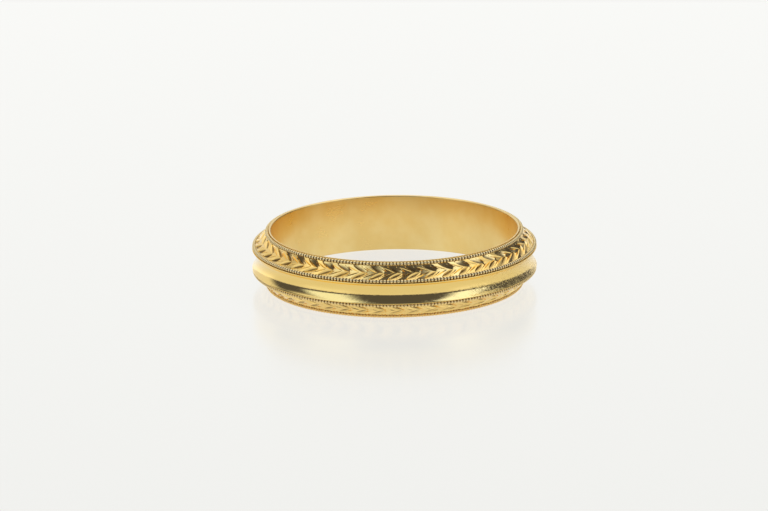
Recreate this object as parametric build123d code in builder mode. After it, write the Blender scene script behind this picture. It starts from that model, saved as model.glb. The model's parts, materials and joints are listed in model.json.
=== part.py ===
"""Wedding band with a hollow-ground middle, two engraved bevels and four rows of milgrain.

It is built up the way a goldsmith fabricates one: a finger sleeve, a turned channel ring around
its middle, a three-cornered rail soldered on either side, and a strand of beaded wire laid in
each of the four seams. Millimetres, +Z along the finger, origin on the axis in the resting plane.
"""

import os
from math import cos, hypot, pi, radians, sin

from build123d import *

# Driving dimensions
finger_bore = 17.7  # inside diameter, about US size 7 1/2
band_width = 4.1  # from rim to rim, along the finger
band_thickness = 1.35  # from the finger bore out to the polished lips
sleeve_wall = 0.28  # bore to solder joint: the channel ring and both rails begin there
channel_width = 1.76  # the channel ring, between its two rails
lip_land = 0.05  # polished flat beside the hollow
lip_ease = 0.015  # rounding of the lip's edges
hollow_depth = 0.285  # the hollow's middle, below the lips
rim_ease = 0.08  # rounding of the bore's two edges
bead_diameter = 0.26  # one grain of the beaded wire
bead_spacing = 0.239  # grain to grain, nearly: less than the diameter, so that grains join
lip_stand = 0.015  # the lips stand this far outside the ridge strands
rim_stand = 0.03  # the rims stand this far beyond the rim strands, and take the wear
solder_gap = 0.005  # film between a strand and its seat
leaf_pairs = 48  # engraved chevrons around each bevel
leaf_slant = 27.0  # degrees between a leaf and the way around the band
leaf_depth = 0.12  # the deepest point of a leaf, square to the bevel
leaf_margin = 0.04  # plain border between a leaf's tip and the seat beside it
leaf_ridge = 0.09  # plain metal left between two leaves of a row
vein_width = 0.03  # plain stem between the two rows
leaf_belly = 0.6  # a leaf is widest this share of its length out from the stem
leaf_lean = 0.22  # the keel of the cut sits this share of the width off its middle
leaf_clear = 0.06  # the cutter stands this far above the bevel

# What fits to them
bore_radius = finger_bore / 2
joint_radius = bore_radius + sleeve_wall
lip_radius = bore_radius + band_thickness
half_width = band_width / 2
shoulder = channel_width / 2
bead_radius = bead_diameter / 2
seat_radius = bead_radius + solder_gap
ridge_radius = lip_radius - lip_stand - bead_radius
rim_height = half_width - rim_stand - bead_radius
hollow_edge = shoulder - seat_radius - lip_land

bevel_drop = ridge_radius - joint_radius
bevel_rise = rim_height - shoulder
bevel_length = hypot(bevel_drop, bevel_rise)
bevel_radius = (ridge_radius + joint_radius) / 2
bevel_height = (rim_height + shoulder) / 2
leaf_reach = bevel_length / 2 - seat_radius - leaf_margin - vein_width / 2
leaf_length = leaf_reach / sin(radians(leaf_slant))
leaf_run = leaf_length * cos(radians(leaf_slant))
leaf_pitch = 2 * pi * bevel_radius / leaf_pairs
leaf_width = leaf_pitch * sin(radians(leaf_slant)) - leaf_ridge
leaf_grow = (leaf_depth + leaf_clear) / leaf_depth

mid_plane = Plane.XY.offset(half_width)
# Profiles are drawn here: x is the radius, y the height above the band's middle
profile_plane = Plane(origin=(0, 0, half_width), x_dir=(1, 0, 0), z_dir=(0, -1, 0))

os.makedirs("parts", exist_ok=True)

# Finger sleeve: plain bore with eased edges, a quarter-round seat outside each rim
with BuildPart() as finger_sleeve:
    with BuildSketch(profile_plane):
        with BuildLine():
            rim_corner = (joint_radius - seat_radius, half_width)
            seat_top = (joint_radius - seat_radius, rim_height)
            seat_foot = (joint_radius, rim_height - seat_radius)
            Line((bore_radius, 0), (bore_radius, half_width))
            Line((bore_radius, half_width), rim_corner)
            Line(rim_corner, seat_top)
            RadiusArc(seat_top, seat_foot, -seat_radius)
            Line(seat_foot, (joint_radius, 0))
            mirror(about=Plane.XZ)
        make_face()
        bore_corners = vertices().group_by(Axis.X)[0]
        fillet(bore_corners, rim_ease)
    revolve(axis=Axis.Z)
finger_sleeve.part.label = "finger_sleeve"
export_step(finger_sleeve.part, "parts/finger_sleeve.step")

# Channel ring: the polished hollow between two narrow lips
with BuildPart() as channel_ring:
    with BuildSketch(profile_plane):
        with BuildLine():
            lip_corner = (lip_radius, hollow_edge + lip_land)
            seat_start = (ridge_radius, shoulder - seat_radius)
            seat_end = (ridge_radius - seat_radius, shoulder)
            Line((joint_radius, 0), (joint_radius, shoulder))
            Line((joint_radius, shoulder), seat_end)
            RadiusArc(seat_end, seat_start, -seat_radius)
            Line(seat_start, lip_corner)
            Line(lip_corner, (lip_radius, hollow_edge))
            mirror(about=Plane.XZ)
            ThreePointArc(
                (lip_radius, hollow_edge),
                (lip_radius - hollow_depth, 0),
                (lip_radius, -hollow_edge),
            )
        make_face()
        lip_corners = vertices().group_by(Axis.X)[-1]
        fillet(lip_corners, lip_ease)
    revolve(axis=Axis.Z)
channel_ring.part.label = "channel_ring"
export_step(channel_ring.part, "parts/channel_ring.step")

# One leaf's cutter: a pyramid upside down on the keel of the cut, its long way along x from
# the stem. Its base is the leaf's outline, grown by as much as the base stands clear.
keel_x = leaf_length * leaf_belly
keel_y = leaf_width * leaf_lean
with BuildPart() as leaf_cutter:
    with BuildSketch(Plane.XY.offset(leaf_clear)) as leaf_outline:
        with BuildLine():
            Polyline(
                (keel_x - keel_x * leaf_grow, keel_y - keel_y * leaf_grow),
                (keel_x, keel_y - (keel_y + leaf_width / 2) * leaf_grow),
                (keel_x + (leaf_length - keel_x) * leaf_grow, keel_y - keel_y * leaf_grow),
                (keel_x, keel_y + (leaf_width / 2 - keel_y) * leaf_grow),
                close=True,
            )
        make_face()
    loft([leaf_outline.sketch.face(), Vertex(keel_x, keel_y, -leaf_depth)])

# A chevron's cutter lies on the bevel: x the way around the band, y across the bevel
bevel_face = Plane(
    origin=(bevel_radius, 0, half_width + bevel_height),
    x_dir=(0, 1, 0),
    z_dir=(bevel_rise, 0, bevel_drop),
)
with BuildPart() as chevron_cutter:
    with Locations(Location((leaf_run / 2, vein_width / 2, 0), (0, 0, 180 - leaf_slant))):
        add(leaf_cutter.part)
    mirror(about=Plane.XZ)

# Engraved rails: three-cornered, each bevel cut with two rows of leaves
with BuildPart() as upper_engraved_rail:
    with BuildSketch(profile_plane):
        with BuildLine():
            Polyline(
                (joint_radius, shoulder),
                (ridge_radius, shoulder),
                (joint_radius, rim_height),
                close=True,
            )
        make_face()
        with Locations((ridge_radius, shoulder), (joint_radius, rim_height)):
            Circle(seat_radius, mode=Mode.SUBTRACT)
    revolve(axis=Axis.Z)
    with PolarLocations(0, leaf_pairs, start_angle=180 / leaf_pairs):
        add(bevel_face.location * chevron_cutter.part, mode=Mode.SUBTRACT)
upper_engraved_rail.part.label = "upper_engraved_rail"
export_step(upper_engraved_rail.part, "parts/upper_engraved_rail.step")

with BuildPart() as lower_engraved_rail:
    mirror(upper_engraved_rail.part, about=mid_plane)
lower_engraved_rail.part.label = "lower_engraved_rail"
export_step(lower_engraved_rail.part, "parts/lower_engraved_rail.step")


def beaded_wire(ring_radius, level):
    """A closed strand of round grains that run into each other, level at that height."""
    grains = round(2 * pi * ring_radius / bead_spacing)
    with BuildPart() as grain:
        with BuildSketch(Plane.XY.offset(level)):
            with Locations((ring_radius, 0)):
                Circle(bead_radius)
            split(bisect_by=Plane.YZ.offset(ring_radius))
        revolve(axis=Axis((ring_radius, 0, level), (0, 1, 0)))
        split(bisect_by=Plane.XZ.rotated((0, 0, 180 / grains)), keep=Keep.TOP)
        split(bisect_by=Plane.XZ.rotated((0, 0, -180 / grains)), keep=Keep.BOTTOM)
    with BuildPart() as strand:
        with PolarLocations(0, grains):
            add(grain.part)
    return strand.part


# Milgrain: a strand beside each rim and one along each ridge
with BuildPart() as upper_rim_milgrain:
    add(beaded_wire(joint_radius, half_width + rim_height))
upper_rim_milgrain.part.label = "upper_rim_milgrain"
export_step(upper_rim_milgrain.part, "parts/upper_rim_milgrain.step")

with BuildPart() as upper_ridge_milgrain:
    add(beaded_wire(ridge_radius, half_width + shoulder))
upper_ridge_milgrain.part.label = "upper_ridge_milgrain"
export_step(upper_ridge_milgrain.part, "parts/upper_ridge_milgrain.step")

with BuildPart() as lower_rim_milgrain:
    mirror(upper_rim_milgrain.part, about=mid_plane)
lower_rim_milgrain.part.label = "lower_rim_milgrain"
export_step(lower_rim_milgrain.part, "parts/lower_rim_milgrain.step")

with BuildPart() as lower_ridge_milgrain:
    mirror(upper_ridge_milgrain.part, about=mid_plane)
lower_ridge_milgrain.part.label = "lower_ridge_milgrain"
export_step(lower_ridge_milgrain.part, "parts/lower_ridge_milgrain.step")
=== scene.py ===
import bpy
import json
import math
from mathutils import Matrix, Vector


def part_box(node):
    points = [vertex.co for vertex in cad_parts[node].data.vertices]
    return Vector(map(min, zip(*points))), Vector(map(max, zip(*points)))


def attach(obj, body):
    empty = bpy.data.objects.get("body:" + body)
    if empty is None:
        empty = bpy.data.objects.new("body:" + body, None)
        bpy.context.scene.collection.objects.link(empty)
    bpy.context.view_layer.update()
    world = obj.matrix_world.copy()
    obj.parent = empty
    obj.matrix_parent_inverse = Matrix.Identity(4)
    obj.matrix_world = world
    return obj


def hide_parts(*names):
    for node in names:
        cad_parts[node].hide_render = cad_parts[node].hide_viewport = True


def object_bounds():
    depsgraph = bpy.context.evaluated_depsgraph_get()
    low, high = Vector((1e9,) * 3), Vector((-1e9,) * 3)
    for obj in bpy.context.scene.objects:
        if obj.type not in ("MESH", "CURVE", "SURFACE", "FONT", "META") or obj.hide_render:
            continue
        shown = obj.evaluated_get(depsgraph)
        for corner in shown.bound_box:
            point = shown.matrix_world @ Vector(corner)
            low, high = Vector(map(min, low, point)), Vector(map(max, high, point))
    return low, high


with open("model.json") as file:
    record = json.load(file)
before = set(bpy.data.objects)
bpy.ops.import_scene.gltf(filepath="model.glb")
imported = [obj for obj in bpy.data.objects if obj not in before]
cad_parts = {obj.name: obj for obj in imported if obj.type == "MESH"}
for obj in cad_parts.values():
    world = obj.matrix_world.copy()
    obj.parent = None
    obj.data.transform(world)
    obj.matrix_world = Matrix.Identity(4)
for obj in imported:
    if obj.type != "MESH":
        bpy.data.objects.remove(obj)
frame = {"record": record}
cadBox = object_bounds()
mm = 0.001
speck = 0.1 * mm  # start size of a primitive whose points are all set afterwards
onePoint = 1e-7  # points nearer to each other than this are one point

# the band's own sizes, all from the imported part
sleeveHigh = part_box("finger_sleeve")[1]
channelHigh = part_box("channel_ring")[1]
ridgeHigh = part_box("upper_ridge_milgrain")[1]
rimLow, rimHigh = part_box("upper_rim_milgrain")
bore = next(mount["dims"] for mount in frame["record"]["mounts"] if mount["name"] == "finger_bore")
boreRadius = bore["r_mm"] * mm
boreLength = bore["length_mm"] * mm
bandWidth = cadBox[1].z - cadBox[0].z
middle = bandWidth / 2
jointRadius = sleeveHigh.x
lipRadius = channelHigh.x
shoulder = channelHigh.z - middle
beadRadius = (rimHigh.z - rimLow.z) / 2
ridgeRadius = ridgeHigh.x - beadRadius
rimHeight = rimHigh.z - beadRadius - middle
solderGap = 0.005 * mm
seatRadius = beadRadius + solderGap
print("band loaded:", round(bandWidth / mm, 3), "mm wide,", round(2 * lipRadius / mm, 3), "mm over the lips")


def pickNothing():
    if bpy.context.mode != "OBJECT":
        bpy.ops.object.mode_set(mode="OBJECT")
    bpy.ops.object.select_all(action="DESELECT")


def pickOnly(piece):
    pickNothing()
    piece.select_set(True)
    bpy.context.view_layer.objects.active = piece


def settle(piece, angle, merge=True):
    # place into the mesh, merge, outward faces, smooth up to that angle
    pickOnly(piece)
    bpy.ops.object.transform_apply(location=True, rotation=True, scale=True)
    bpy.ops.object.mode_set(mode="EDIT")
    bpy.ops.mesh.select_all(action="SELECT")
    if merge:
        bpy.ops.mesh.remove_doubles(threshold=onePoint)
    bpy.ops.mesh.normals_make_consistent(inside=False)
    bpy.ops.object.mode_set(mode="OBJECT")
    bpy.ops.object.shade_smooth_by_angle(angle=math.radians(angle))


def giveToFrame(piece, slotName, *nodes):
    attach(piece, "root")
    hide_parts(*nodes)


def arc(centre, radius, start, end, steps):
    # points along an arc of a section, in degrees from straight outwards
    points = []
    for step in range(steps + 1):
        turn = math.radians(start + (end - start) * step / steps)
        points.append((centre[0] + radius * math.cos(turn), centre[1] + radius * math.sin(turn)))
    return points


def bothSides(half):
    # a section drawn above the middle, and its mirror image below; the first point is on the middle
    return half + [(out, -up) for out, up in reversed(half[1:])]


def turnRing(name, section, turns):
    # walk the section from one vertex, then spin it round the finger's axis
    pickNothing()
    first = section[0]
    bpy.ops.mesh.primitive_plane_add(size=speck, location=(first[0], 0, middle + first[1]))
    piece = bpy.context.object
    piece.name = name
    bpy.ops.object.transform_apply(location=True, rotation=True, scale=True)
    bpy.ops.object.mode_set(mode="EDIT")
    bpy.ops.mesh.select_all(action="SELECT")
    bpy.ops.mesh.merge(type="CENTER")
    for here, there in zip(section, section[1:] + section[:1]):
        step = (there[0] - here[0], 0, there[1] - here[1])
        bpy.ops.mesh.extrude_region_move(TRANSFORM_OT_translate={"value": step})
    bpy.ops.mesh.select_all(action="SELECT")
    bpy.ops.mesh.remove_doubles(threshold=onePoint)
    bpy.ops.mesh.spin(steps=turns, angle=2 * math.pi, center=(0, 0, 0), axis=(0, 0, 1))
    bpy.ops.object.mode_set(mode="OBJECT")
    return piece


# finger sleeve: plain bore, both rims eased, a seat for the rim strand outside each
sleeve = {
    "ease": (bandWidth - boreLength) / 2,
    "wear": 1.5,  # the easing reaches this much further along the flat than down the bore
    "easeSteps": 8,
    "seatSteps": 8,
    "turns": 360,
    "smooth": 30,  # degrees
}


def makeSleeve():
    ease = sleeve["ease"]
    half = [(boreRadius, 0)]
    for out, up in arc((0, middle - ease), ease, 180, 90, sleeve["easeSteps"]):
        half.append((boreRadius + (out + ease) * sleeve["wear"], up))
    half += [(jointRadius - seatRadius, middle)]
    half += arc((jointRadius, rimHeight), seatRadius, 180, 270, sleeve["seatSteps"])
    piece = turnRing("fingerSleeve", bothSides(half), sleeve["turns"])
    settle(piece, sleeve["smooth"])
    giveToFrame(piece, "plain_gold", "finger_sleeve")
    print("finger sleeve turned:", len(piece.data.polygons), "faces")
    return piece


# channel ring: the polished hollow and its two lips
channel = {
    "land": 0.05 * mm,  # the lip's flat top
    "depth": 0.285 * mm,
    "ease": 0.015 * mm,
    "hollowSteps": 40,
    "innerEaseSteps": 3,
    "outerEaseSteps": 4,
    "seatSteps": 8,
    "turns": 480,
    "smooth": 30,  # degrees
}


def makeChannel():
    land, depth, ease = channel["land"], channel["depth"], channel["ease"]
    edge = shoulder - seatRadius - land
    hollowRadius = (edge * edge + depth * depth) / (2 * depth)
    centre = (lipRadius - depth + hollowRadius, 0)
    sweep = math.degrees(math.asin(edge / hollowRadius))
    half = arc(centre, hollowRadius, 180, 180 - sweep, channel["hollowSteps"] // 2)[:-1]
    half += arc((lipRadius - ease, edge + ease), ease, -sweep / 2, 0, channel["innerEaseSteps"])
    half += arc((lipRadius - ease, edge + land - ease), ease, 0, 90, channel["outerEaseSteps"])
    half += arc((ridgeRadius, shoulder), seatRadius, 270, 180, channel["seatSteps"])
    half += [(jointRadius, shoulder)]
    piece = turnRing("channelRing", bothSides(half), channel["turns"])
    settle(piece, channel["smooth"])
    giveToFrame(piece, "polished_gold", "channel_ring")
    print("channel ring turned:", len(piece.data.polygons), "faces")
    return piece


# engraved rails: four kinds of graver stroke on the bevel, each a V that swells and fades.
# from and to are shares of the row's height, shift a share of the pitch, turn in degrees,
# and broad and steep are how far the V's two walls reach to either side of its keel
rail = {
    "turns": 360,
    "seatSteps": 6,
    "smooth": 30,  # degrees, before the engraving
    "smoothCut": 12,  # degrees, after it
    "chevrons": 48,
    "slant": 27,  # degrees between a leaf and the way round
    "margin": 0.03 * mm,
    "clear": 0.015 * mm,  # how far the cutter stands over the bevel
    "handwork": 0.006 * mm,  # how far the graver strays
    "seed": 10,
    "lowerTurn": 17,  # whole chevrons
    "strokes": {
        "leaf": {
            "from": -0.08, "to": 1.06, "shift": 0, "turn": 0,
            "depth": 0.14 * mm, "broad": 0.36 * mm, "steep": 0.14 * mm, "bow": 0.02 * mm,
            "belly": 0.9, "fullness": 0.5, "stations": 9,
        },
        "shade": {
            "from": -0.04, "to": 0.95, "shift": 0.60, "turn": -2,
            "depth": 0.065 * mm, "broad": 0.07 * mm, "steep": 0.05 * mm, "bow": 0.03 * mm,
            "belly": 0.8, "fullness": 0.8, "stations": 5,
        },
        "line": {
            "from": 0.1, "to": 0.9, "shift": 0.26, "turn": 4,
            "depth": 0.12 * mm, "broad": 0.045 * mm, "steep": 0.04 * mm, "bow": 0,
            "belly": 0.8, "fullness": 0.8, "stations": 4,
        },
        "nick": {
            "from": 0.64, "to": 1.05, "shift": 0.22, "turn": 50,
            "depth": 0.08 * mm, "broad": 0.1 * mm, "steep": 0.05 * mm, "bow": 0,
            "belly": 0.7, "fullness": 0.8, "stations": 4,
        },
    },
}
bevelDrop = ridgeRadius - jointRadius
bevelRise = rimHeight - shoulder
bevelLength = math.hypot(bevelDrop, bevelRise)
bevelLean = math.degrees(math.atan2(bevelRise, bevelDrop))
chevronPitch = 2 * math.pi / rail["chevrons"]


def bevelPlace():
    # x the way round, y up the bevel, z out of it
    up = Vector((-bevelDrop, 0, bevelRise)).normalized()
    out = Vector((bevelRise, 0, bevelDrop)).normalized()
    place = Matrix((Vector((0, 1, 0)), up, out)).transposed().to_4x4()
    place.translation = ((ridgeRadius + jointRadius) / 2, 0, middle + (rimHeight + shoulder) / 2)
    return place


def strokeSizes(stroke, shares):
    # the section's size at each share of the way along, 1 where the graver is deepest
    sizes = []
    for share in shares:
        swell = abs(math.sin(math.pi * share ** stroke["belly"])) ** stroke["fullness"]
        sizes.append((swell * stroke["depth"] + rail["clear"]) / (stroke["depth"] + rail["clear"]))
    return sizes


def makeStroke(kind, side):
    # the solid that the graver takes out: a three-cornered section, keel down, walked along
    stroke = rail["strokes"][kind]
    clear, depth = rail["clear"], stroke["depth"]
    reach = bevelLength / 2 - seatRadius - rail["margin"]
    heading = math.radians(rail["slant"] + stroke["turn"])
    length = reach * (stroke["to"] - stroke["from"]) / math.sin(heading)
    full = (depth + clear) / depth
    corners = ((0, -depth), (stroke["steep"] * full, clear), (-stroke["broad"] * full, clear))
    shares = [station / stroke["stations"] for station in range(stroke["stations"] + 1)]
    sizes = strokeSizes(stroke, shares)
    pickNothing()
    bpy.ops.mesh.primitive_circle_add(vertices=3, radius=speck, fill_type="NGON", location=(0, 0, 0))
    cutter = bpy.context.object
    cutter.name = kind + "Cutter"
    for vertex, (across, up) in zip(cutter.data.vertices, corners):
        vertex.co = (0, across * sizes[0], clear + (up - clear) * sizes[0])
    bpy.ops.object.mode_set(mode="EDIT")
    bpy.ops.mesh.select_all(action="SELECT")
    lean = 0
    for share, before, after in zip(shares[1:], sizes, sizes[1:]):
        bend = stroke["bow"] * math.sin(math.pi * share)
        step = (length / stroke["stations"], bend - lean, 0)
        bpy.ops.mesh.extrude_region_move(TRANSFORM_OT_translate={"value": step})
        grow = after / before
        bpy.ops.transform.resize(value=(1, grow, grow), center_override=(length * share, bend, clear))
        lean = bend
    bpy.ops.object.mode_set(mode="OBJECT")
    rowRun = reach / math.tan(math.radians(rail["slant"]))
    cutter.rotation_euler.z = math.pi - heading
    cutter.location = (rowRun / 2 - rowRun * stroke["from"], reach * stroke["from"], 0)
    bpy.ops.object.transform_apply(location=True, rotation=True, scale=True)
    onward = Matrix.Rotation(stroke["shift"] * chevronPitch, 4, "Z")
    cutter.matrix_world = onward @ bevelPlace() @ Matrix.Scale(side, 4, (0, 1, 0))
    bpy.ops.object.transform_apply(location=True, rotation=True, scale=True)
    return cutter


def engrave(piece, kind, side, seed):
    # one stroke copied round the band, each strayed a little, then all taken out
    cutter = makeStroke(kind, side)
    copies = rail["chevrons"] - 1
    bpy.ops.object.mode_set(mode="EDIT")
    bpy.ops.mesh.select_all(action="SELECT")
    bpy.ops.mesh.spin(
        steps=copies, angle=copies * chevronPitch, center=(0, 0, 0), axis=(0, 0, 1), dupli=True)
    bpy.ops.mesh.select_all(action="SELECT")
    bpy.ops.transform.vertex_random(offset=rail["handwork"], seed=seed)
    bpy.ops.mesh.normals_make_consistent(inside=False)
    bpy.ops.object.mode_set(mode="OBJECT")
    cut = piece.modifiers.new("engraving", "BOOLEAN")
    cut.operation = "DIFFERENCE"
    cut.solver = "MANIFOLD"
    cut.object = cutter
    pickOnly(piece)
    bpy.ops.object.modifier_apply(modifier="engraving")
    bpy.data.objects.remove(cutter)


def makeRails():
    ridgeSeat = arc((ridgeRadius, shoulder), seatRadius, 180, 180 - bevelLean, rail["seatSteps"])
    rimSeat = arc((jointRadius, rimHeight), seatRadius, -bevelLean, -90, rail["seatSteps"])
    section = [(jointRadius, shoulder)] + ridgeSeat + rimSeat
    upper = turnRing("upperEngravedRail", section, rail["turns"])
    settle(upper, rail["smooth"])
    seed = rail["seed"]
    for kind in rail["strokes"]:
        for side in (1, -1):
            seed += 1
            engrave(upper, kind, side, seed)
    # the lower one is a mirrored copy, turned by whole chevrons so that the handwork differs
    pickOnly(upper)
    bpy.ops.object.duplicate()
    lower = bpy.context.object
    lower.name = "lowerEngravedRail"
    lower.scale.z = -1
    lower.location.z = bandWidth
    lower.rotation_euler.z = rail["lowerTurn"] * chevronPitch
    for piece, node in ((upper, "upper_engraved_rail"), (lower, "lower_engraved_rail")):
        settle(piece, rail["smoothCut"], merge=False)  # the cut mesh is closed as it is
        giveToFrame(piece, "engraved_gold", node)
        print(piece.name, "engraved:", len(piece.data.polygons), "faces")
    return upper, lower


# milgrain: one grain cut where the next begins, then copied round the band
milgrain = {
    "spacing": 0.239 * mm,
    "around": 10,
    "rings": 6,
    "join": 1e-6,  # grains' edges nearer to each other than this are joined
    "handwork": 0.004 * mm,
    "smooth": 80,  # degrees
}


def makeStrand(name, ringRadius, height, seed, node):
    count = round(2 * math.pi * ringRadius / milgrain["spacing"])
    half = math.pi / count
    pickNothing()
    bpy.ops.mesh.primitive_uv_sphere_add(
        segments=milgrain["around"], ring_count=milgrain["rings"], radius=beadRadius,
        location=(ringRadius, 0, middle + height), rotation=(math.pi / 2, 0, 0))
    piece = bpy.context.object
    piece.name = name
    bpy.ops.object.transform_apply(location=True, rotation=True, scale=True)
    bpy.ops.object.mode_set(mode="EDIT")
    for turn, outer in ((half, True), (-half, False)):
        bpy.ops.mesh.select_all(action="SELECT")
        bpy.ops.mesh.bisect(
            plane_co=(0, 0, 0), plane_no=(-math.sin(turn), math.cos(turn), 0),
            clear_outer=outer, clear_inner=not outer)
    bpy.ops.mesh.select_all(action="SELECT")
    bpy.ops.mesh.spin(
        steps=count - 1, angle=2 * math.pi - 2 * half, center=(0, 0, 0), axis=(0, 0, 1), dupli=True)
    bpy.ops.mesh.select_all(action="SELECT")
    bpy.ops.mesh.remove_doubles(threshold=milgrain["join"])
    bpy.ops.transform.vertex_random(offset=milgrain["handwork"], seed=seed)
    bpy.ops.object.mode_set(mode="OBJECT")
    settle(piece, milgrain["smooth"])
    giveToFrame(piece, "milgrain_gold", node)
    print(name, "beaded:", count, "grains,", len(piece.data.polygons), "faces")
    return piece


sleevePiece = makeSleeve()
channelPiece = makeChannel()
upperRail, lowerRail = makeRails()
strands = [
    makeStrand("upperRimMilgrain", jointRadius, rimHeight, 1, "upper_rim_milgrain"),
    makeStrand("upperRidgeMilgrain", ridgeRadius, shoulder, 2, "upper_ridge_milgrain"),
    makeStrand("lowerRimMilgrain", jointRadius, -rimHeight, 3, "lower_rim_milgrain"),
    makeStrand("lowerRidgeMilgrain", ridgeRadius, -shoulder, 4, "lower_ridge_milgrain"),
]


class Signal:
    # a socket that takes part in sums; each sum adds its Math node
    def __init__(self, tree, socket):
        self.tree = tree
        self.socket = socket

    def __add__(self, other):
        return maths(self.tree, "ADD", self, other)

    def __radd__(self, other):
        return maths(self.tree, "ADD", other, self)

    def __sub__(self, other):
        return maths(self.tree, "SUBTRACT", self, other)

    def __rsub__(self, other):
        return maths(self.tree, "SUBTRACT", other, self)

    def __mul__(self, other):
        return maths(self.tree, "MULTIPLY", self, other)

    def __rmul__(self, other):
        return maths(self.tree, "MULTIPLY", other, self)

    def __truediv__(self, other):
        return maths(self.tree, "DIVIDE", self, other)

    def __pow__(self, other):
        return maths(self.tree, "POWER", self, other)


def addNode(tree, kind, settings, values, output=0):
    # any node: its settings first, then its sockets' values or links
    node = tree.nodes.new(kind)
    for name, setting in settings.items():
        setattr(node, name, setting)
    for name, value in values.items():
        if isinstance(value, Signal):
            tree.links.new(value.socket, node.inputs[name])
        else:
            node.inputs[name].default_value = value
    return Signal(tree, node.outputs[output]) if node.outputs else None


def maths(tree, operation, *values):
    return addNode(tree, "ShaderNodeMath", {"operation": operation}, dict(enumerate(values)))


def between(tree, value, low, high):
    # 0 at low and before it, 1 at high and past it, smooth in between; low may be the larger
    settings = {"interpolation_type": "SMOOTHSTEP"}
    return addNode(
        tree, "ShaderNodeMapRange", settings, {"Value": value, "From Min": low, "From Max": high})


def mixColours(tree, blend, share, first, second):
    # a Mix node keeps its colours in sockets 6 and 7, and its colour result in output 2
    settings = {"data_type": "RGBA", "blend_type": blend}
    return addNode(tree, "ShaderNodeMix", settings, {0: share, 6: first, 7: second}, 2)


def axes(tree, vector):
    return [addNode(tree, "ShaderNodeSeparateXYZ", {}, {0: vector}, axis) for axis in range(3)]


def newMaterial(name):
    material = bpy.data.materials.new(name)
    material.use_nodes = True
    material.node_tree.nodes.clear()
    return material, material.node_tree


def noise(tree, spot, scale, detail):
    return addNode(tree, "ShaderNodeTexNoise", {}, {"Vector": spot, "Scale": scale, "Detail": detail})


def streaks(tree, spot, turn, size, detail):
    # noise stretched to that size in millimetres along x, y and z, after a turn in radians
    values = {"Vector": spot, "Rotation": turn, "Scale": size}
    return noise(tree, addNode(tree, "ShaderNodeMapping", {"vector_type": "TEXTURE"}, values), 1.0, detail)


def goldSurface(tree, colour, roughness, relief, look):
    values = {"Strength": look["bump"], "Distance": look["bumpDepth"], "Height": relief}
    bump = addNode(tree, "ShaderNodeBump", {}, values)
    values = {"Base Color": colour, "Metallic": 1.0, "Roughness": roughness, "Normal": bump}
    shader = addNode(tree, "ShaderNodeBsdfPrincipled", {}, values)
    addNode(tree, "ShaderNodeOutputMaterial", {}, {"Surface": shader})


def millimetres(tree):
    here = addNode(tree, "ShaderNodeTexCoord", {}, {}, "Object")
    return addNode(tree, "ShaderNodeVectorMath", {"operation": "SCALE"}, {0: here, "Scale": 1 / mm})


def fromAxis(tree, spot):
    # distance from the finger's axis and height above or below the band's middle, in millimetres
    x, y, z = axes(tree, spot)
    return (x * x + y * y) ** 0.5, maths(tree, "ABSOLUTE", z - middle / mm)


# plain gold: worn satin inside the band
plainGold = {
    "light": (0.96, 0.73, 0.31, 1),
    "deep": (0.91, 0.65, 0.24, 1),
    "cloudScale": 0.5,
    "deepTo": 0.35, "lightFrom": 0.68,  # of the clouds
    "rubs": (8, 8, 0.25),
    "roughness": 0.2, "cloudRoughness": 0.14, "rubRoughness": 0.06,
    "bump": 0.3, "bumpDepth": 0.03 * mm,
}


def makePlainGold():
    look = plainGold
    material, tree = newMaterial("plainGold")
    spot = millimetres(tree)
    clouds = noise(tree, spot, look["cloudScale"], detail=3.0)
    lightness = between(tree, clouds, look["deepTo"], look["lightFrom"])
    colour = mixColours(tree, "MIX", lightness, look["deep"], look["light"])
    rubs = streaks(tree, spot, (0, 0, 0), look["rubs"], detail=4.0)
    roughness = look["roughness"] + look["cloudRoughness"] * clouds + look["rubRoughness"] * rubs
    goldSurface(tree, colour, roughness, clouds, look)
    return material


# polished gold: a mirror with fine hairs, and scuffs on the side that has been rubbed
polishedGold = {
    "light": (1.0, 0.73, 0.26, 1),
    "deep": (0.96, 0.69, 0.22, 1),
    "cloudScale": 0.6,
    "hairs": (3, 3, 0.05),
    "scratches": (0.9, 0.05, 0.9), "scratchTurn": (0.5, 0.9, 0.3),
    "scratchFrom": 0.56, "scratchFull": 0.66,
    "rubs": (0.25, 0.06, 0.25), "rubTurn": (0.2, -0.7, 0.5),
    "rubFrom": 0.5, "rubFull": 0.64, "rubShare": 0.8,
    "wornFrom": 3.5, "wornFull": 8.0,  # millimetres toward the rubbed side
    "wornElsewhere": 0.15,
    "roughness": 0.035, "hairRoughness": 0.05, "scuffRoughness": 0.25,
    "hairRelief": 0.3, "bump": 0.5, "bumpDepth": 0.01 * mm,
}


def makePolishedGold():
    look = polishedGold
    material, tree = newMaterial("polishedGold")
    spot = millimetres(tree)
    clouds = noise(tree, spot, look["cloudScale"], detail=2.0)
    colour = mixColours(tree, "MIX", clouds, look["deep"], look["light"])
    hairs = streaks(tree, spot, (0, 0, 0), look["hairs"], detail=3.0)
    side = axes(tree, spot)[0]
    worn = look["wornElsewhere"] + between(tree, side, look["wornFrom"], look["wornFull"])
    scratches = streaks(tree, spot, look["scratchTurn"], look["scratches"], detail=2.0)
    scratches = between(tree, scratches, look["scratchFrom"], look["scratchFull"])
    rubs = streaks(tree, spot, look["rubTurn"], look["rubs"], detail=3.0)
    rubs = between(tree, rubs, look["rubFrom"], look["rubFull"])
    scuffs = worn * (scratches + look["rubShare"] * rubs)
    roughness = look["roughness"] + look["hairRoughness"] * hairs + look["scuffRoughness"] * scuffs
    goldSurface(tree, colour, roughness, hairs * look["hairRelief"] - scuffs, look)
    return material


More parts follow.
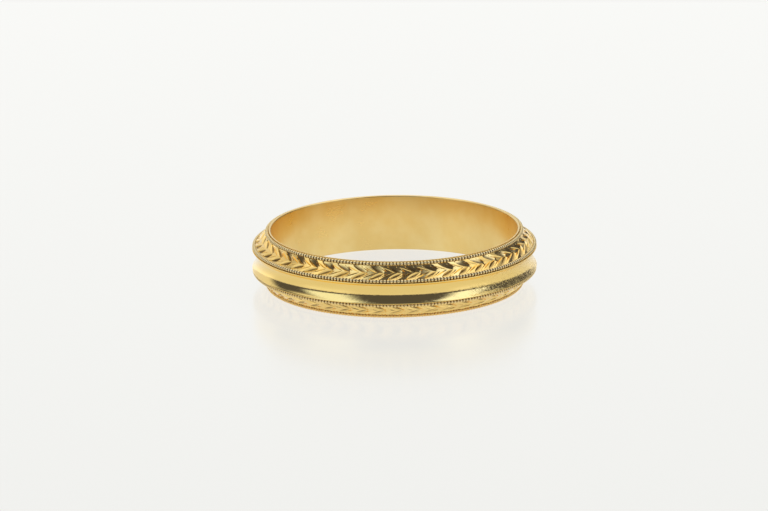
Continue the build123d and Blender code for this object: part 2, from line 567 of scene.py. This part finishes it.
# engraved gold: bright cuts, the deep ones darkened in colour by dirt and painted shade
engravedGold = {
    "light": (1.0, 0.73, 0.28, 1),
    "deep": (0.93, 0.62, 0.18, 1),
    # dark colour for the dirt and painted shade in the deep cuts
    "dirtAndShade": (0.21, 0.13, 0.05, 1),
    "dirtAndShadeFrom": 0.05, "dirtAndShadeFull": 0.13,  # millimetres under the bevel
    "dirtAndShadeShare": 0.85,
    "cloudScale": 2.0,
    "patchFrom": 0.1, "patchFull": 0.5,  # the dirt and painted shade keep to the brighter clouds
    "strokes": (0.6, 0.6, 0.04), "strokeTurn": (0.4, 0.3, 0.6),
    "roughness": 0.06, "cloudRoughness": 0.08, "strokeRoughness": 0.08, "dirtRoughness": 0.2,
    "bump": 0.15, "bumpDepth": 0.01 * mm,
}


def makeEngravedGold():
    look = engravedGold
    material, tree = newMaterial("engravedGold")
    spot = millimetres(tree)
    clouds = noise(tree, spot, look["cloudScale"], detail=3.0)
    colour = mixColours(tree, "MIX", clouds, look["deep"], look["light"])
    radius, height = fromAxis(tree, spot)
    outward = (radius - ridgeRadius / mm) * (bevelRise / bevelLength)
    upward = (height - shoulder / mm) * (bevelDrop / bevelLength)
    deep = between(tree, 0 - (outward + upward), look["dirtAndShadeFrom"], look["dirtAndShadeFull"])
    dirtAndShade = look["dirtAndShadeShare"] * deep * between(tree, clouds, look["patchFrom"], look["patchFull"])
    # painted shade: the deeper the cut, the darker its colour, partly as dirt and partly standing in for the
    # cut's own shadow
    colour = mixColours(tree, "MIX", dirtAndShade, colour, look["dirtAndShade"])
    strokes = streaks(tree, spot, look["strokeTurn"], look["strokes"], detail=2.0)
    roughness = look["roughness"] + look["cloudRoughness"] * clouds
    roughness = roughness + look["strokeRoughness"] * strokes + look["dirtRoughness"] * deep
    goldSurface(tree, colour, roughness, strokes, look)
    return material


# milgrain gold: grains above painted pale as a painted highlight, their waists darkened by dirt and painted
# shade; matt rubbed grains below, plain gold and without the dark waists
milgrainGold = {
    # the upper grains' pale colour is a painted highlight
    "light": (1.0, 0.79, 0.39, 1),
    "rubbed": (1.0, 0.72, 0.28, 1),
    # dark colour for the dirt and painted shade in the waists between grains
    "dirtAndShade": (0.34, 0.22, 0.09, 1),
    "dirtAndShadeTo": 0.085, "cleanAndUnshadedFrom": 0.115,  # millimetres out of the strand's own core line
    "cloudScale": 4.0,
    "roughness": 0.26, "rubbedRoughness": 0.38, "cloudRoughness": 0.1, "dirtRoughness": 0.35,
    "bump": 0.2, "bumpDepth": 0.01 * mm,
}


def makeMilgrainGold():
    look = milgrainGold
    material, tree = newMaterial("milgrainGold")
    spot = millimetres(tree)
    radius, height = fromAxis(tree, spot)
    # how far out of the nearer strand's core line a point lies: least in the waist between two grains
    ridgeCore = ((radius - ridgeRadius / mm) ** 2.0 + (height - shoulder / mm) ** 2.0) ** 0.5
    rimCore = ((radius - jointRadius / mm) ** 2.0 + (height - rimHeight / mm) ** 2.0) ** 0.5
    # the waists between grains are darkened, partly as dirt and partly as painted shade; none of it below
    cleanAndUnshaded = between(tree, maths(tree, "MINIMUM", ridgeCore, rimCore), look["dirtAndShadeTo"], look["cleanAndUnshadedFrom"])
    below = between(tree, axes(tree, spot)[2], middle / mm, 0)
    cleanAndUnshaded = maths(tree, "MAXIMUM", cleanAndUnshaded, below)
    # painted highlight: the grains above get the paler colour, those below plain gold
    grain = mixColours(tree, "MIX", below, look["light"], look["rubbed"])
    colour = mixColours(tree, "MIX", cleanAndUnshaded, look["dirtAndShade"], grain)
    clouds = noise(tree, spot, look["cloudScale"], detail=2.0)
    roughness = look["roughness"] + look["rubbedRoughness"] * below
    roughness = roughness + look["cloudRoughness"] * clouds + look["dirtRoughness"] * (1.0 - cleanAndUnshaded)
    goldSurface(tree, colour, roughness, clouds, look)
    return material


def putFinish(pieces, material):
    for piece in pieces:
        piece.data.materials.clear()
        piece.data.materials.append(material)


putFinish([sleevePiece], makePlainGold())
putFinish([channelPiece], makePolishedGold())
putFinish([upperRail, lowerRail], makeEngravedGold())
putFinish(strands, makeMilgrainGold())
print("finishes on")

# floor: pale, smooth, a little glossy, with a glow of its own that takes the shadows out
floorLook = {
    "size": 6.0,
    "colour": (0.05, 0.049, 0.046, 1),
    "roughness": 0.2,
    "shine": 0.2,
    "glow": (1, 1, 0.96, 1),
    "glowLight": 0.735,
}


def makeFloor():
    pickNothing()
    bpy.ops.mesh.primitive_plane_add(size=floorLook["size"], location=(0, 0, 0))
    floor = bpy.context.object
    floor.name = "floor"
    material, tree = newMaterial("floorPaper")
    values = {
        "Base Color": floorLook["colour"],
        "Roughness": floorLook["roughness"],
        "Specular IOR Level": floorLook["shine"],
        "Emission Color": floorLook["glow"],
        "Emission Strength": floorLook["glowLight"],
    }
    shader = addNode(tree, "ShaderNodeBsdfPrincipled", {}, values)
    addNode(tree, "ShaderNodeOutputMaterial", {}, {"Surface": shader})
    putFinish([floor], material)


makeFloor()
print("floor laid")

# studio: what light comes from where, by degrees round from the camera's side, right positive, and
# by degrees up; every edge is soft
studio = {
    "dark": (0.092, 0.095, 0.135, 1),
    "backdrop": {"turn": 14, "from": 126, "full": 140, "light": (0.74, 0.74, 0.72, 1)},  # round
    "backdropFade": {"from": 30, "full": 60, "left": 0.45},  # up
    "boxEndSoft": 4,
    "boxes": {  # low and high are round, bottom and top are up
        "left": {
            "low": -79, "lowSoft": 8, "high": -38, "highSoft": 11,
            "bottom": 10, "top": 74, "light": (0.88, 1.03, 1.3, 1),
        },
        "right": {
            "low": 49, "lowSoft": 9, "high": 82, "highSoft": 3,
            "bottom": 10, "top": 74, "light": (1.08, 1.25, 1.75, 1),
        },
    },
    "sideFill": {"from": 72, "full": 95, "bottom": 28, "top": 50, "light": (1.15, 1.15, 1.1, 1)},
    "ceiling": {"from": 72, "full": 88, "light": (0.4, 0.4, 0.4, 1)},  # up
}


def edge(tree, value, place, soft):
    # a soft edge at that place: light above it, or below it where soft is negative
    return between(tree, value, place - soft, place + soft)


def boxShare(tree, box, around, height):
    # how much of a softbox is seen in that direction, from 0 to 1
    sides = edge(tree, around, box["low"], box["lowSoft"])
    sides = sides * edge(tree, around, box["high"], -box["highSoft"])
    ends = edge(tree, height, box["bottom"], studio["boxEndSoft"])
    ends = ends * edge(tree, height, box["top"], -studio["boxEndSoft"])
    return sides * ends


def makeStudio():
    world = bpy.data.worlds.new("studio")
    bpy.context.scene.world = world
    world.use_nodes = True
    tree = world.node_tree
    tree.nodes.clear()
    x, y, z = axes(tree, addNode(tree, "ShaderNodeTexCoord", {}, {}, "Generated"))
    degree = math.pi / 180
    around = maths(tree, "ARCTAN2", x, 0 - y) / degree
    height = maths(tree, "ARCSINE", z) / degree
    back, fade = studio["backdrop"], studio["backdropFade"]
    behind = between(tree, maths(tree, "ABSOLUTE", around - back["turn"]), back["from"], back["full"])
    behind = behind * (1.0 - (1.0 - fade["left"]) * between(tree, height, fade["from"], fade["full"]))
    light = mixColours(tree, "ADD", behind, studio["dark"], back["light"])
    for box in studio["boxes"].values():
        light = mixColours(tree, "ADD", boxShare(tree, box, around, height), light, box["light"])
    fill = studio["sideFill"]
    beside = between(tree, maths(tree, "ABSOLUTE", around), fill["from"], fill["full"])
    beside = (beside - behind) * between(tree, height, fill["bottom"], fill["top"])
    light = mixColours(tree, "ADD", beside, light, fill["light"])
    ceiling = studio["ceiling"]
    above = between(tree, height, ceiling["from"], ceiling["full"])
    light = mixColours(tree, "ADD", above, light, ceiling["light"])
    shine = addNode(tree, "ShaderNodeBackground", {}, {"Color": light, "Strength": 1.0})
    addNode(tree, "ShaderNodeOutputWorld", {}, {"Surface": shine})


makeStudio()
print("studio lit")

cameraLook = {
    "aim": (-0.00075, 0, 0.00203),
    "distance": 0.408,
    "elevation": 15.6,
    "roll": -0.7,
    "lens": 266.7,
    "sensor": 36,
    "near": 0.01,
}


def makeCamera():
    lift = math.radians(cameraLook["elevation"])
    roll = Matrix.Rotation(math.radians(cameraLook["roll"]), 3, "Z")
    aim = Vector(cameraLook["aim"])
    away = Vector((0, -math.cos(lift), math.sin(lift))) * cameraLook["distance"]
    bpy.ops.object.camera_add(location=aim + away)
    camera = bpy.context.object
    camera.rotation_euler = ((-away).to_track_quat("-Z", "Y").to_matrix() @ roll).to_euler()
    camera.data.lens = cameraLook["lens"]
    camera.data.sensor_width = cameraLook["sensor"]
    camera.data.clip_start = cameraLook["near"]
    bpy.context.scene.camera = camera
    bpy.context.scene.view_settings.view_transform = "Standard"


makeCamera()
print("camera set")
